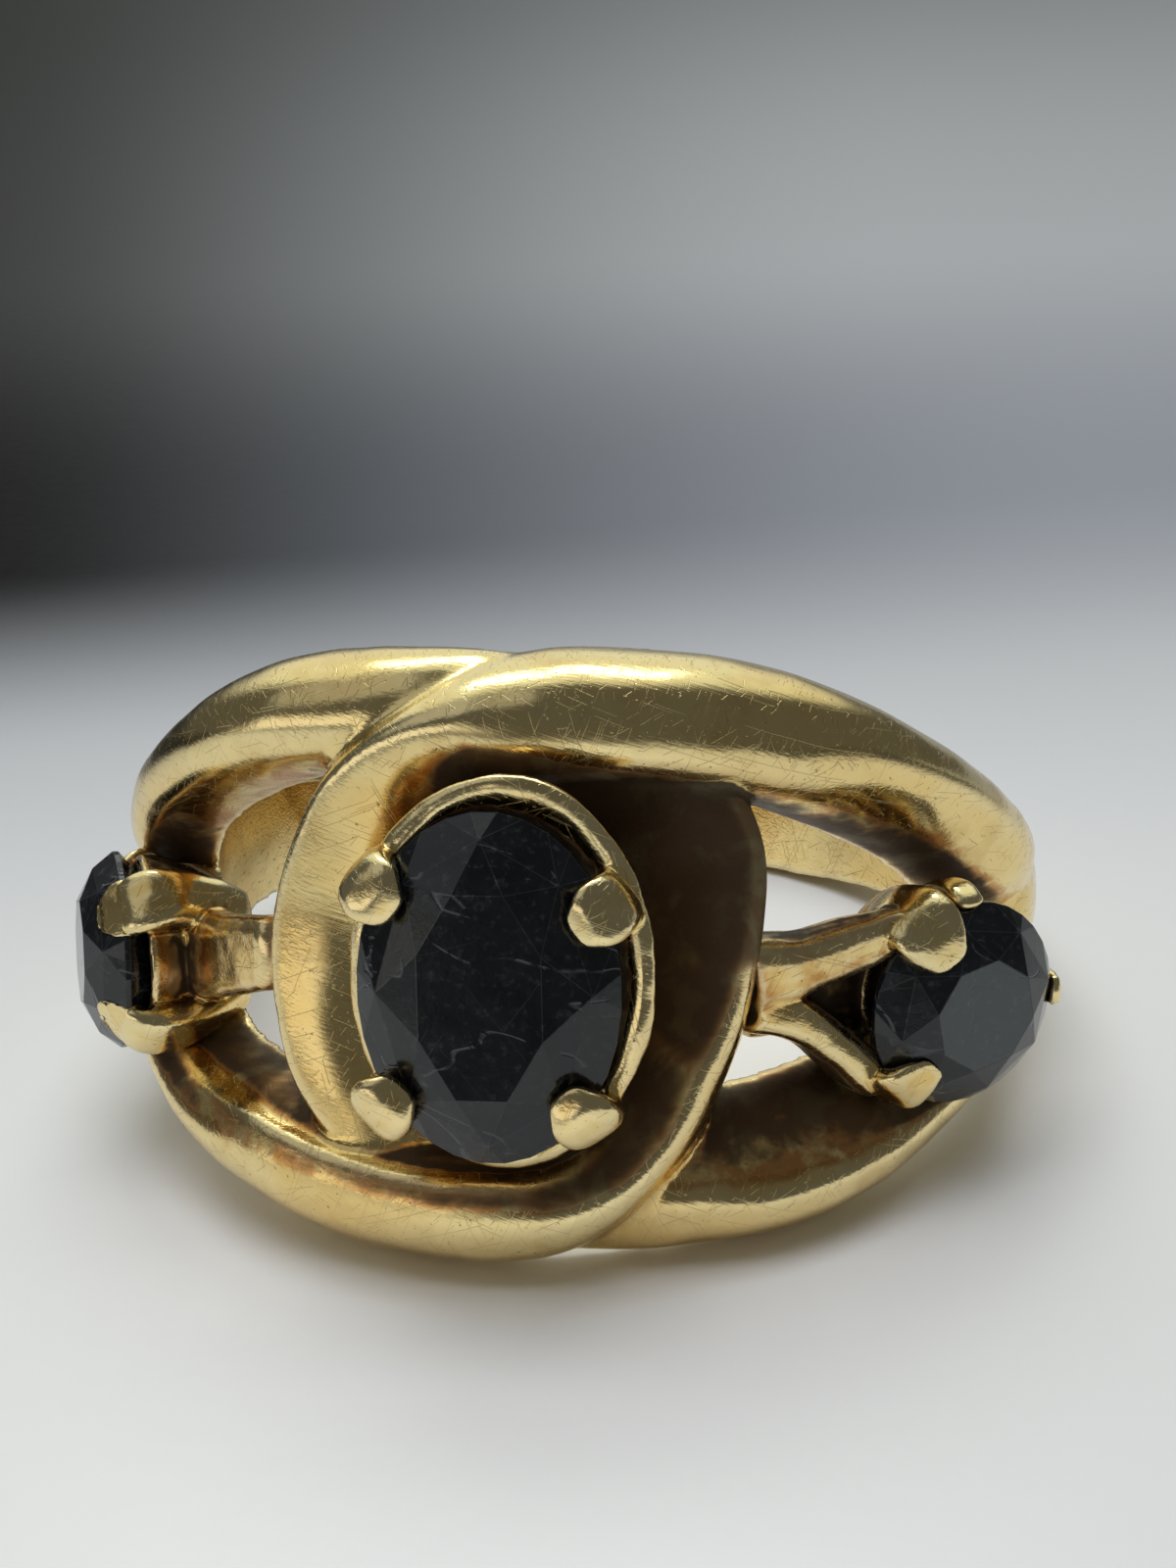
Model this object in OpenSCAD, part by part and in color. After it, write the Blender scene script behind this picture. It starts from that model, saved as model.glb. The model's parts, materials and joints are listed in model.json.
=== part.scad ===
// Three stone ring: a plain shank that splits into two interlaced ribbon
// links, with an oval stone in a claw basket where the links cross and a
// small round stone in a claw cup outside the end of each link.
// Units are millimetres. Angles run round the finger from the middle of the
// head (0) towards the right shoulder (90) and the back of the shank (180).
// "Rise" is a distance along the finger, "height" a distance above the bore.

/* [Finger hole] */
// Inside diameter of the ring
finger_d = 17.7; // [17:0.1:18.5]

/* [Shank] */
// Width of the shank at the back of the finger
shank_w = 2.5; // [2.2:0.1:3.2]
// Thickness of the shank at the back of the finger
shank_t = 1.5; // [1.3:0.1:1.9]

/* [Links] */
// Width of the head along the finger, over both links
head_w = 12.9; // [12:0.1:13.4]
// Height of a link's crest above the bore where it lies on top
link_h = 2.25; // [2:0.05:2.5]

/* [Centre stone] */
// Length of the oval stone, along the finger
oval_l = 6.9; // [6.4:0.1:7]
// Width of the oval stone, round the finger
oval_w = 5.2; // [4.9:0.1:5.4]
// Height of the oval stone's girdle above the bore
oval_seat = 3.2; // [3:0.1:3.5]

/* [Side stones] */
// Diameter of each round stone
round_d = 4.4; // [4.2:0.1:4.6]
// Height of the round stones' girdle above the bore
round_seat = 2.55; // [2.4:0.05:2.8]

/* [Hidden] */
bore_r = finger_d / 2;
// Half the head's width, which the rises in the link table are parts of
half = head_w / 2;
// Gap between a stone and its setting
gap = 0.05;
// Sections drawn for each row of a table, and points on each flank of one
steps = 2;
arc = 6;
// Angle round the finger at which the oval stone sits
center_angle = -1.74;
// Turns of the four claws round the oval stone
oval_claws = [31, 139, 229, 310];
// Places of the round stones: angle round the finger, rise, and how far the
// axis turns and leans from the radius
right_at = [50.4, -1.1, -9, 8];
left_at = [61, -0.85, 5, 0];
// Height of the upright wall along a ribbon's edges
lip = 0.15;
// How far each stone is turned in its claws: oval, right, left
stone_turns = [1.1, 15.7, 10.4];
// How far below the bore the links and the shank reach before it is cut
root_depths = [0.58, 0.72, 1.0];
// The ring lies on its side on the head's lower edge and the back of the
// shank: turned back about X, rolled about Y, then shifted onto the floor
rest_turn = [-16.3, 1.87, 0];
rest_shift = [0.242, 1.571, 3.574];

// One link, from its upper root in the right shoulder, over the top, round
// its left end, under the other link and back to the right shoulder.
// Columns: outer edge angle, outer edge rise, inner edge angle, inner edge
// rise, crest place from inner (0) to outer (1) edge, crest height, fullness
link_table = [
    [ 96,  0.25,  96, -0.12, 0.50, 0.50, 1.0],
    [ 84,  0.36,  82, -0.08, 0.50, 0.72, 1.0],
    [ 73,  0.44,  71, -0.02, 0.58, 0.88, 1.1],
    [ 63,  0.555, 61,  0.10, 0.62, 0.90, 1.3],
    [ 53,  0.68,  51,  0.24, 0.64, 0.93, 1.3],
    [ 43,  0.80,  41,  0.36, 0.60, 0.97, 1.2],
    [ 33,  0.90,  32,  0.45, 0.52, 1.00, 0.9],
    [ 23,  0.955, 22,  0.53, 0.45, 1.00, 0.8],
    [ 13,  0.975, 13,  0.57, 0.45, 1.00, 0.8],
    [  4,  0.98,   5,  0.57, 0.48, 1.00, 0.8],
    [ -5,  0.94,  -2,  0.54, 0.52, 1.00, 0.9],
    [-12,  0.86,  -6,  0.47, 0.58, 0.98, 1.0],
    [-18,  0.75,  -9,  0.38, 0.68, 0.96, 1.1],
    [-24,  0.59, -11,  0.27, 0.76, 0.94, 1.2],
    [-28,  0.40, -12,  0.15, 0.81, 0.92, 1.3],
    [-31,  0.19, -13,  0.05, 0.84, 0.90, 1.3],
    [-32, -0.02, -13, -0.05, 0.84, 0.90, 1.3],
    [-31, -0.22, -13, -0.14, 0.83, 0.90, 1.3],
    [-29, -0.41, -12, -0.23, 0.80, 0.88, 1.2],
    [-25, -0.59,  -9, -0.29, 0.74, 0.82, 1.1],
    [-19, -0.75,  -7, -0.37, 0.64, 0.72, 1.0],
    [-12, -0.87,  -3, -0.45, 0.56, 0.62, 1.0],
    [ -4, -0.94,   2, -0.52, 0.52, 0.58, 1.0],
    [  5, -0.97,   8, -0.56, 0.50, 0.62, 1.0],
    [ 14, -0.98,  15, -0.58, 0.50, 0.76, 1.0],
    [ 23, -0.97,  23, -0.57, 0.50, 0.88, 0.9],
    [ 32, -0.94,  32, -0.53, 0.54, 0.95, 1.0],
    [ 42, -0.86,  41, -0.46, 0.60, 0.95, 1.3],
    [ 52, -0.74,  50, -0.37, 0.66, 0.92, 1.4],
    [ 62, -0.60,  60, -0.24, 0.64, 0.90, 1.4],
    [ 72, -0.46,  70, -0.04, 0.58, 0.88, 1.1],
    [ 83, -0.36,  81,  0.06, 0.50, 0.72, 1.0],
    [ 99, -0.25,  98,  0.13, 0.50, 0.48, 1.0],
];

// The shank, from the notch between the right shoulder's branches round the
// back of the finger to the left one's.
// Columns: angle, rise of the middle, half width, height
shank_table = [
    [ 66.3, 0.02, 0.4, 0.30],
    [ 71, 0.00, 1.7, 0.90],
    [ 77, 0.00, 2.3, 1.60],
    [ 84, 0.00, 2.2, 1.75],
    [ 92, 0.00, 1.95, 1.75],
    [102, 0.00, 1.65, 1.75],
    [116, 0.05, 0.56 * shank_w, shank_t + 0.2],
    [136, 0.12, 0.52 * shank_w, shank_t + 0.05],
    [160, 0.20, 0.50 * shank_w, shank_t],
    [180, 0.28, 0.50 * shank_w, shank_t],
    [200, 0.34, 0.51 * shank_w, shank_t],
    [224, 0.42, 0.53 * shank_w, shank_t + 0.05],
    [244, 0.46, 0.56 * shank_w, shank_t + 0.2],
    [258, 0.42, 1.60, 1.75],
    [268, 0.25, 1.95, 1.75],
    [276, 0.10, 2.2, 1.75],
    [283, 0.00, 2.3, 1.60],
    [289, 0.00, 1.7, 0.90],
    [293.6, 0.03, 0.4, 0.30],
];

// Point at an angle round the finger, a rise along it and a height above
// the bore
function at(angle, rise, height) = [
    (bore_r + height) * sin(angle),
    -(bore_r + height) * cos(angle),
    rise,
];

// Row of a table at a place between its rows, on a smooth curve through them
function row(table, i) = table[min(max(i, 0), len(table) - 1)];
function blend(a, b, c, d, t) =
    ((2 * b + (c - a) * t) + (2 * a - 5 * b + 4 * c - d) * t * t
        + (3 * b - a - 3 * c + d) * t * t * t) / 2;
function smooth(table, steps) = [
    for (i = [0 : len(table) - 2], k = [0 : steps - 1])
        blend(row(table, i - 1), row(table, i), row(table, i + 1), row(table, i + 2), k / steps),
    table[len(table) - 1],
];

// Height profile of a ribbon: parts of its width and of its crest height
function profile(crest, full) = [
    for (i = [0 : 2 * arc])
        let (turn = 90 * i / arc - 90)
        turn < 0
            ? [crest * (1 - pow(cos(turn + 90), full)), pow(sin(turn + 90), full)]
            : [crest + (1 - crest) * sin(turn), pow(cos(turn), 0.9)],
];

// Cross-section of a ribbon between two edges given as [angle, rise]. It
// reaches some way below the bore, which is cut later
function ribbon_section(inner, outer, crest, height, full, sunk) = concat(
    [at(inner[0], inner[1], -sunk)],
    [
        for (p = profile(crest, full))
            let (edge = inner + (outer - inner) * p[0])
            at(edge[0], edge[1], lip + (height - lip) * p[1]),
    ],
    [at(outer[0], outer[1], -sunk)]
);

// Closed skin through a list of sections with the same number of points
module loft(sections) {
    n = len(sections[0]);
    m = len(sections);
    polyhedron(
        points = [for (s = sections) each s],
        faces = concat(
            [[for (j = [0 : n - 1]) j]],
            [[for (j = [n - 1 : -1 : 0]) (m - 1) * n + j]],
            [
                for (i = [0 : m - 2], j = [0 : n - 1])
                    let (a = i * n + j, b = i * n + (j + 1) % n)
                    each [[a, a + n, b], [b, a + n, b + n]],
            ]
        )
    );
}

// The two links differ a little from the table. "outer" and "inner" bring the
// edges of the returning branch closer to the middle, "pull" draws the end
// of the link back by an angle and "open" moves the inner edge of the first
// branch away from the middle at the shoulder
module link(outer = 1, inner = 1, pull = 0, open = 0, sunk = root_depths[0]) {
    function ramp(x) = min(max(x, 0), 1);
    function nearer(r, part) = r[1] < 0 ? 1 + (part - 1) * ramp((r[0] + 10) / 30) : 1;
    function opened(r) = r[1] > 0 ? open * ramp((r[0] - 35) / 15) * ramp((90 - r[0]) / 20) : 0;
    loft([
        for (r = smooth(link_table, steps))
            ribbon_section(
                [r[2], (r[3] * nearer(r, inner) + opened(r)) * half],
                [r[0] + pull * ramp(-r[0] / 28) * ramp(1 + 1.5 * r[1]), r[1] * nearer(r, outer) * half],
                r[4], r[5] * link_h, r[6], sunk
            ),
    ]);
}

module shank() {
    loft([
        for (r = smooth(shank_table, steps))
            ribbon_section([r[0], r[1] + r[2]], [r[0], r[1] - r[2]], 0.5, r[3], 0.9, root_depths[2]),
    ]);
}

// Tapering rod in the plane that the given side direction stands on. Each
// row is its middle point, its half width along the side direction and its
// half thickness
module rod(rows, side, sides = 8) {
    last = len(rows) - 1;
    loft([
        for (i = [0 : last])
            let (
                way = rows[min(i + 1, last)][0] - rows[max(i - 1, 0)][0],
                across = cross(way / norm(way), side)
            )
            [
                for (k = [0 : sides - 1])
                    rows[i][0]
                        + rows[i][1] * cos(360 * k / sides) * side
                        + rows[i][2] * sin(360 * k / sides) * across,
            ],
    ]);
}

// Puts a setting's own frame on the ring: at an angle and a rise, with its
// origin at a height above the bore. Its axis points outward, turned and
// leaned from the radius by the last two angles
module seat_at(angle, rise, height, turn = 0, lean = 0) {
    rotate([0, 0, angle])
        translate([0, -(bore_r + height), rise])
            rotate([0, 0, turn])
                rotate([90 + lean, 0, 0])
                    children();
}

// Claw at a turn round a girdle of half sizes a and b. Columns of its table:
// reach beyond the girdle, height over it, half width, half thickness
module claw(turn, a, b, table, scale = 1) {
    out = [cos(turn), sin(turn), 0];
    edge = 1 / sqrt(pow(out[0] / a, 2) + pow(out[1] / b, 2));
    rod([
        for (r = table)
            [(edge + r[0]) * out + [0, 0, r[1]], r[2] * scale, r[3] * scale],
    ], [-out[1], out[0], 0]);
}

oval_claw_table = [
    [-0.75, -2.75, 0.42, 0.34],
    [-0.30, -1.6, 0.46, 0.44],
    [ 0.05, -0.7, 0.50, 0.46],
    [ 0.16,  0.0, 0.56, 0.46],
    [ 0.08,  0.5, 0.58, 0.42],
    [-0.22,  0.74, 0.54, 0.30],
    [-0.62,  0.64, 0.34, 0.12],
];

round_claw_table = [
    [-1.05, -2.3, 0.34, 0.3],
    [-0.55, -1.7, 0.42, 0.38],
    [ 0.00, -0.8, 0.46, 0.38],
    [ 0.12, -0.2, 0.48, 0.34],
    [ 0.02,  0.25, 0.46, 0.28],
    [-0.28,  0.46, 0.42, 0.20],
    [-0.66,  0.60, 0.24, 0.10],
];

// One oval outline of the basket
function oval(a, b, z, n = 32) = [for (k = [0 : n - 1]) [a * cos(360 * k / n), b * sin(360 * k / n), z]];

module center_setting() {
    a = oval_w / 2;
    b = oval_l / 2;
    seat_at(center_angle, 0, oval_seat) {
        difference() {
            loft([
                oval(a * 0.85, b * 0.86, -3.12),
                oval(a * 0.87, b * 0.88, -2.0),
                oval(a * 0.98, b * 0.98, -1.2),
                oval(a + 0.30, b + 0.30, -0.62),
                oval(a + 0.32, b + 0.32, -0.22),
                oval(a + 0.20, b + 0.20, -0.08),
            ]);
            loft([
                oval(a * 0.55, b * 0.6, -3.6),
                oval(a * 0.6, b * 0.66, -1.9),
                oval(a * 0.9, b * 0.9, -0.45),
                oval(a + 0.1, b + 0.1, 0.05),
            ]);
        }
        for (t = oval_claws) claw(t, a, b, oval_claw_table);
    }
}

// Cup under a round stone: a cone with a scoop for the stone's point and
// claws given as [turn, scale, tip height]
module round_setting(claws) {
    a = round_d / 2;
    difference() {
        rotate([0, 0, 3]) rotate_extrude($fn = 32)
            polygon([[0, -2.44], [1.2, -2.44], [1.3, -2.2], [1.75, -1.4], [1.75, -1.2], [0, -1.2]]);
        translate([0, 0, -2.3]) cylinder(r1 = 0.35, r2 = 1.6, h = 1.25, $fn = 32);
    }
    for (c = claws)
        claw(c[0], a, a, [for (r = round_claw_table) [r[0], r[1] + c[2], r[2], r[3]]], c[1]);
}

module right_setting() {
    round_setting([[126.24, 1.25, 0], [226.28, 1.05, 0], [95, 0.6, -0.3], [2, 0.6, -0.2]]);
    rod([
        [[-4.6, 0.5, -1.6], 0.6, 0.8],
        [[-3.6, 0.72, -1.5], 0.5, 0.62],
        [[-2.5, 0.92, -1.4], 0.55, 0.5],
        [[-1.56, 1.37, -1.14], 0.6, 0.5],
    ], [0, 0, 1]);
    rod([
        [[-4.4, 0.3, -1.5], 0.45, 0.42],
        [[-2.7, -0.55, -1.4], 0.45, 0.38],
        [[-1.6, -1.5, -1.16], 0.45, 0.36],
    ], [0, 0, 1]);
    rod([
        [[-4.4, 0.06, -2.0], 0.8, 0.4],
        [[-1.0, 0.03, -2.0], 0.8, 0.4],
    ], [0, 1, 0]);
}

module left_setting() {
    round_setting([[36.81, 1.3, -0.55], [-39.72, 1.1, -0.5], [130, 0.6, -0.75], [215, 0.6, -0.75]]);
    rod([
        [[0.85, 0.02, -1.92], 1.05, 0.7],
        [[2.4, 0.25, -2.0], 0.85, 0.5],
        [[5.6, 0.9, -3.0], 0.8, 0.5],
    ], [0, 1, 0]);
}

// Cut stone with a table, a crown, a thin girdle and a pavilion
module cut_stone(w, l, table_w, table_l, crown, pavilion, girdle = 0.12) {
    hull() {
        translate([0, 0, crown - 0.01])
            linear_extrude(0.01) scale([table_w / 2, table_l / 2]) rotate(22.5) circle(r = 1, $fn = 8);
        translate([0, 0, crown * 0.55])
            linear_extrude(0.01)
                scale([(table_w * 0.42 + w * 0.58) / 2, (table_l * 0.42 + l * 0.58) / 2]) circle(r = 1.02, $fn = 8);
        translate([0, 0, -girdle])
            linear_extrude(girdle) scale([w / 2, l / 2]) rotate(11.25) circle(r = 1, $fn = 16);
        translate([0, 0, -pavilion * 0.55])
            linear_extrude(0.01) scale([w * 0.31, l * 0.31]) rotate(22.5) circle(r = 1, $fn = 8);
        translate([0, 0, -pavilion])
            linear_extrude(0.01) scale([w * 0.05, l * 0.09]) circle(r = 1, $fn = 8);
    }
}

// The stones' bodies, or with some room round them the seats cut for them
module oval_cut(room = 0) {
    seat_at(center_angle, 0, oval_seat)
        rotate(stone_turns[0]) cut_stone(
            oval_w + 2 * room, oval_l + 2 * room,
            oval_w * 0.5 + room, oval_l * 0.62 + room,
            0.85 + room, 1.9 + 2 * room
        );
}

module round_cut(turn, room = 0) {
    rotate(turn) cut_stone(
        round_d + 2 * room, round_d + 2 * room,
        round_d * 0.55 + room, round_d * 0.55 + room,
        0.8 + room, 1.75 + 2 * room
    );
}

module on_right() seat_at(right_at[0], right_at[1], round_seat, right_at[2], right_at[3]) children();
module on_left() seat_at(-left_at[0], left_at[1], round_seat, -left_at[2], left_at[3]) children();
module rest() translate(rest_shift) rotate(rest_turn) children();

module center_stone() {
    color([0.05, 0.06, 0.10]) rest() oval_cut();
}

module right_stone() {
    color([0.05, 0.06, 0.10]) rest() on_right() round_cut(stone_turns[1]);
}

module left_stone() {
    color([0.05, 0.06, 0.10]) rest() on_left() round_cut(stone_turns[2]);
}

// All the metal before the finger hole is cut, soldered into one body
module metal() {
    difference() {
        union() {
            link(0.95, 0.76);
            rotate([0, 180, 0]) link(pull = 2.6, open = 0.1, sunk = root_depths[1]);
            shank();
            center_setting();
            on_right() right_setting();
            on_left() left_setting();
        }
        oval_cut(gap);
        on_right() round_cut(stone_turns[1], gap);
        on_left() round_cut(stone_turns[2], gap);
    }
}

// The metal is joined with a rough hole first (resizing by nothing keeps its
// size), then the finger hole is cut true
module ring_body() {
    color([0.80, 0.66, 0.38])
        rest()
            difference() {
                resize([0, 0, 0])
                    difference() {
                        metal();
                        cylinder(r = bore_r - 0.4, h = 40, center = true, $fn = 64);
                    }
                cylinder(r = bore_r, h = 3 * head_w, center = true, $fn = 96);
            }
}

ring_body();
center_stone();
right_stone();
left_stone();
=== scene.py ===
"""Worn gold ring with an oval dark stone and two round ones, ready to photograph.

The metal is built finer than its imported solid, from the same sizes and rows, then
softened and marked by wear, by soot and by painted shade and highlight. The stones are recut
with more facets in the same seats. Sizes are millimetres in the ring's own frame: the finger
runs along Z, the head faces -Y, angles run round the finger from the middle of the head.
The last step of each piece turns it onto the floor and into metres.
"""
import json
import math
import bmesh
import bpy
import numpy as np
from mathutils import Euler, Matrix, Vector, noise
from mathutils.bvhtree import BVHTree
from mathutils.kdtree import KDTree

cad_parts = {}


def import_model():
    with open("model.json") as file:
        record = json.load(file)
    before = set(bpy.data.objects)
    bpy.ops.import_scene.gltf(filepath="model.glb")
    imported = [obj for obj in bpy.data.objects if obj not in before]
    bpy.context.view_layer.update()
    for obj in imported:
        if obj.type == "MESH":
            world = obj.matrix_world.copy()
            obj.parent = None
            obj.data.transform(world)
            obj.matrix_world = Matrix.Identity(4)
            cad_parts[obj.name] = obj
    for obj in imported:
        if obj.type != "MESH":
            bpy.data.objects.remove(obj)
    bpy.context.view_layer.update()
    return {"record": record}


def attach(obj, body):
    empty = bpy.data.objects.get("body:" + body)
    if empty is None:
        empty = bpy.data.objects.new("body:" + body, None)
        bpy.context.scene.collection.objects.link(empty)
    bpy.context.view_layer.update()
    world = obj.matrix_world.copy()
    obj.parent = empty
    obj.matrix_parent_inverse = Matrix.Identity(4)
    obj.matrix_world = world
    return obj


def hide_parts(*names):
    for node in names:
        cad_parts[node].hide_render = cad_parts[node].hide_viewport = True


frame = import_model()

# Sizes of the ring
finger = frame["record"]["mounts"][0]
BORE_R = finger["dims"]["r_mm"]
HEAD_HALF = 6.45
CREST = 2.25
LIP = 0.15
SHANK_W = 2.5
SHANK_T = 1.5
OVAL_W = 5.2
OVAL_L = 6.9
OVAL_SEAT = 3.2
OVAL_ANGLE = -1.74
ROUND_D = 4.4
ROUND_SEAT = 2.55
# Places of the round stones: angle round the finger, and rise along it
RIGHT_AT = (50.4, -1.1)
LEFT_AT = (-61, -0.85)
# How far each stone is turned in its claws
STONE_TURNS = {"center_stone": 1.1, "right_stone": 15.7, "left_stone": 10.4}
# Room kept between metal and stone
SEAT_GAP = 0.03
# How the ring lies: turned about X and Y, then shifted onto the floor
REST_TURN = (-16.3, 1.87, 0.0)
REST_SHIFT = (0.242, 1.571, 3.574)
METRE = 0.001

rest_turn = Euler([math.radians(a) for a in REST_TURN]).to_matrix().to_4x4()
rest = Matrix.Translation(REST_SHIFT) @ rest_turn
to_row = Matrix.Scale(METRE, 4) @ rest

# Fineness of the skins: sections between two rows, and points round each section
RIBBON_STEPS = 8
RIBBON_ARC = 20
WALL_STEPS = 4
CLAW_STEPS = 4
ARM_STEPS = 5
ROD_SIDES = 20
OVAL_SIDES = 120
ROUND_SIDES = 72
# Grain that the skins are melted at, and how often the result is softened
RIBBON_VOXEL, RIBBON_SOFTENING = 0.11, 3
SETTING_VOXEL, CENTER_SOFTENING, SIDE_SOFTENING = 0.062, 8, 5
# Depth and length of the unevenness that files and wear leave
RIBBON_WAVES = ((0.07, 3.5), (0.018, 0.9))
SETTING_WAVES = ((0.06, 1.1), (0.018, 0.45))
# How often soot, wear and the painted shade in them are evened out over the skin
SOOT_AND_SHADE_SPREAD = 3
RECESS_SPREAD = 3
RIDGE_SPREAD = 2
# Rays sent out to find how enclosed a spot is, which sets grime and painted shade in hollows,
# their length and their start over the skin
ENCLOSURE_RAYS = 20
ENCLOSURE_REACH = 3.0
ENCLOSURE_START = 0.04
# Width of the rubbed edges between facets
EDGE_WEAR = 0.012
# Cut of the stones: table in parts of width and length, height of crown and of pavilion
OVAL_CUT = (0.5, 0.62, 0.85, 1.9)
ROUND_CUT = (0.55, 0.55, 0.8, 1.75)
# Thickness of the girdle, the corners round it, and those round the table
GIRDLE = 0.12
GIRDLE_CORNERS = 32
TABLE_CORNERS = 8
# Star corners between table and girdle: part taken of each, how far they stand proud of
# the straight line, and their height in parts of the crown
STAR_IN, STAR_OUT = 0.42, 0.58
STAR_PROUD = 1.03
STAR_HEIGHT = 0.56
# Corners between girdle and point: how far out, and how deep in parts of the pavilion
LOWER_OUT = 0.62
LOWER_DEPTH = 0.56
# Ledge on the flank of a ribbon: its depth, its place from 0 at the crest to 1 at the
# inner edge, its half width, and how wide the bright line on it is and how much soot and painted
# shade are taken off it
LEDGE = 0.11
LEDGE_PLACE = 0.6
LEDGE_HALF = 0.12
GLINT_HALF = 0.11
GLINT_CLEAN = 0.6
# Soot with painted shade and painted dark reflection on a link: how much counts as heavy, the
# part of a flank that stays clean when it is light, and how steeply it thickens down the flank,
# there and at the closed end
HEAVY_SOOT_AND_SHADE = 0.6
CLEAN_FLANK = 0.5
SOOT_AND_SHADE_STEEP = 4.5
END_STEEP = 9
# Dark patch of soot and painted shade where a link turns: its angle, half width, reach into the
# clean part, and darkness
PATCH_ANGLE = -5
PATCH_HALF = 9
PATCH_REACH = 0.7
PATCH_SOOT_AND_SHADE = 0.85
# How far heavy soot and painted shade reach over the crest, and how much thicker that makes them
OVER_EDGE = 0.16
OVER_SOOT_AND_SHADE = 3

# Rows of the ribbon links: outer edge angle and rise, inner edge angle and rise,
# crest place across, crest height, fullness. Rises are parts of half the head
LINK_ROWS = [
    [96, 0.25, 96, -0.12, 0.50, 0.50, 1.0],
    [84, 0.36, 82, -0.08, 0.50, 0.72, 1.0],
    [73, 0.44, 71, -0.02, 0.58, 0.88, 1.1],
    [63, 0.555, 61, 0.10, 0.62, 0.90, 1.3],
    [53, 0.68, 51, 0.24, 0.64, 0.93, 1.3],
    [43, 0.80, 41, 0.36, 0.60, 0.97, 1.2],
    [33, 0.90, 32, 0.45, 0.52, 1.00, 0.9],
    [23, 0.955, 22, 0.53, 0.45, 1.00, 0.8],
    [13, 0.975, 13, 0.57, 0.45, 1.00, 0.8],
    [4, 0.98, 5, 0.57, 0.48, 1.00, 0.8],
    [-5, 0.94, -2, 0.54, 0.52, 1.00, 0.9],
    [-12, 0.86, -6, 0.47, 0.58, 0.98, 1.0],
    [-18, 0.75, -9, 0.38, 0.68, 0.96, 1.1],
    [-24, 0.59, -11, 0.27, 0.76, 0.94, 1.2],
    [-28, 0.40, -12, 0.15, 0.81, 0.92, 1.3],
    [-31, 0.19, -13, 0.05, 0.84, 0.90, 1.3],
    [-32, -0.02, -13, -0.05, 0.84, 0.90, 1.3],
    [-31, -0.22, -13, -0.14, 0.83, 0.90, 1.3],
    [-29, -0.41, -12, -0.23, 0.80, 0.88, 1.2],
    [-25, -0.59, -9, -0.29, 0.74, 0.82, 1.1],
    [-19, -0.75, -7, -0.37, 0.64, 0.72, 1.0],
    [-12, -0.87, -3, -0.45, 0.56, 0.62, 1.0],
    [-4, -0.94, 2, -0.52, 0.52, 0.58, 1.0],
    [5, -0.97, 8, -0.56, 0.50, 0.62, 1.0],
    [14, -0.98, 15, -0.58, 0.50, 0.76, 1.0],
    [23, -0.97, 23, -0.57, 0.50, 0.88, 0.9],
    [32, -0.94, 32, -0.53, 0.54, 0.95, 1.0],
    [42, -0.86, 41, -0.46, 0.60, 0.95, 1.3],
    [52, -0.74, 50, -0.37, 0.66, 0.92, 1.4],
    [62, -0.60, 60, -0.24, 0.64, 0.90, 1.4],
    [72, -0.46, 70, -0.04, 0.58, 0.88, 1.1],
    [83, -0.36, 81, 0.06, 0.50, 0.72, 1.0],
    [99, -0.25, 98, 0.13, 0.50, 0.48, 1.0],
]

# Rows of the shank: angle, rise of the middle, half width, height
SHANK_ROWS = [
    [66.3, 0.02, 0.4, 0.30],
    [71, 0.00, 1.7, 0.90],
    [77, 0.00, 2.3, 1.60],
    [84, 0.00, 2.2, 1.75],
    [92, 0.00, 1.95, 1.75],
    [102, 0.00, 1.65, 1.75],
    [116, 0.05, 0.56 * SHANK_W, SHANK_T + 0.2],
    [136, 0.12, 0.52 * SHANK_W, SHANK_T + 0.05],
    [160, 0.20, 0.50 * SHANK_W, SHANK_T],
    [180, 0.28, 0.50 * SHANK_W, SHANK_T],
    [200, 0.34, 0.51 * SHANK_W, SHANK_T],
    [224, 0.42, 0.53 * SHANK_W, SHANK_T + 0.05],
    [244, 0.46, 0.56 * SHANK_W, SHANK_T + 0.2],
    [258, 0.42, 1.60, 1.75],
    [268, 0.25, 1.95, 1.75],
    [276, 0.10, 2.2, 1.75],
    [283, 0.00, 2.3, 1.60],
    [289, 0.00, 1.7, 0.90],
    [293.6, 0.03, 0.4, 0.30],
]

# Rows of a claw: reach beyond the girdle, height over it, half width, half thickness
OVAL_CLAW_ROWS = [
    [-0.75, -2.75, 0.42, 0.34],
    [-0.30, -1.6, 0.46, 0.42],
    [0.05, -0.7, 0.52, 0.42],
    [0.20, -0.1, 0.60, 0.40],
    [0.16, 0.38, 0.66, 0.34],
    [-0.14, 0.66, 0.66, 0.26],
    [-0.52, 0.68, 0.42, 0.15],
]
ROUND_CLAW_ROWS = [
    [-1.05, -2.3, 0.34, 0.3],
    [-0.55, -1.7, 0.42, 0.38],
    [0.00, -0.8, 0.50, 0.36],
    [0.14, -0.2, 0.56, 0.30],
    [0.04, 0.22, 0.56, 0.24],
    [-0.28, 0.44, 0.50, 0.18],
    [-0.70, 0.60, 0.32, 0.10],
]
# A claw that is worn down to a bead
BEAD_CLAW_ROWS = ROUND_CLAW_ROWS[:-2]
# Squareness of the sections: 2 is an oval and more is flatter
CLAW_SQUARE = 3.2
ARM_SQUARE = 3.0
# Rounded end of a rod: part of its last section, and reach in parts of its thickness
ROD_TIP = ((0.86, 0.45), (0.5, 0.85), (0.12, 1.0))

# Turns of the four claws round the oval stone
OVAL_CLAWS = (36, 137, 229, 310)
# Claws round the side stones: turn, scale and lift
RIGHT_CLAWS = ((126.24, 1.38, 0), (226.28, 1.05, 0))
RIGHT_BEADS = ((95, 0.6, -0.1), (2, 0.6, -0.1))
LEFT_CLAWS = ((36.81, 1.3, -0.55), (-39.72, 1.1, -0.5), (130, 0.6, -0.75), (215, 0.6, -0.75))

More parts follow.
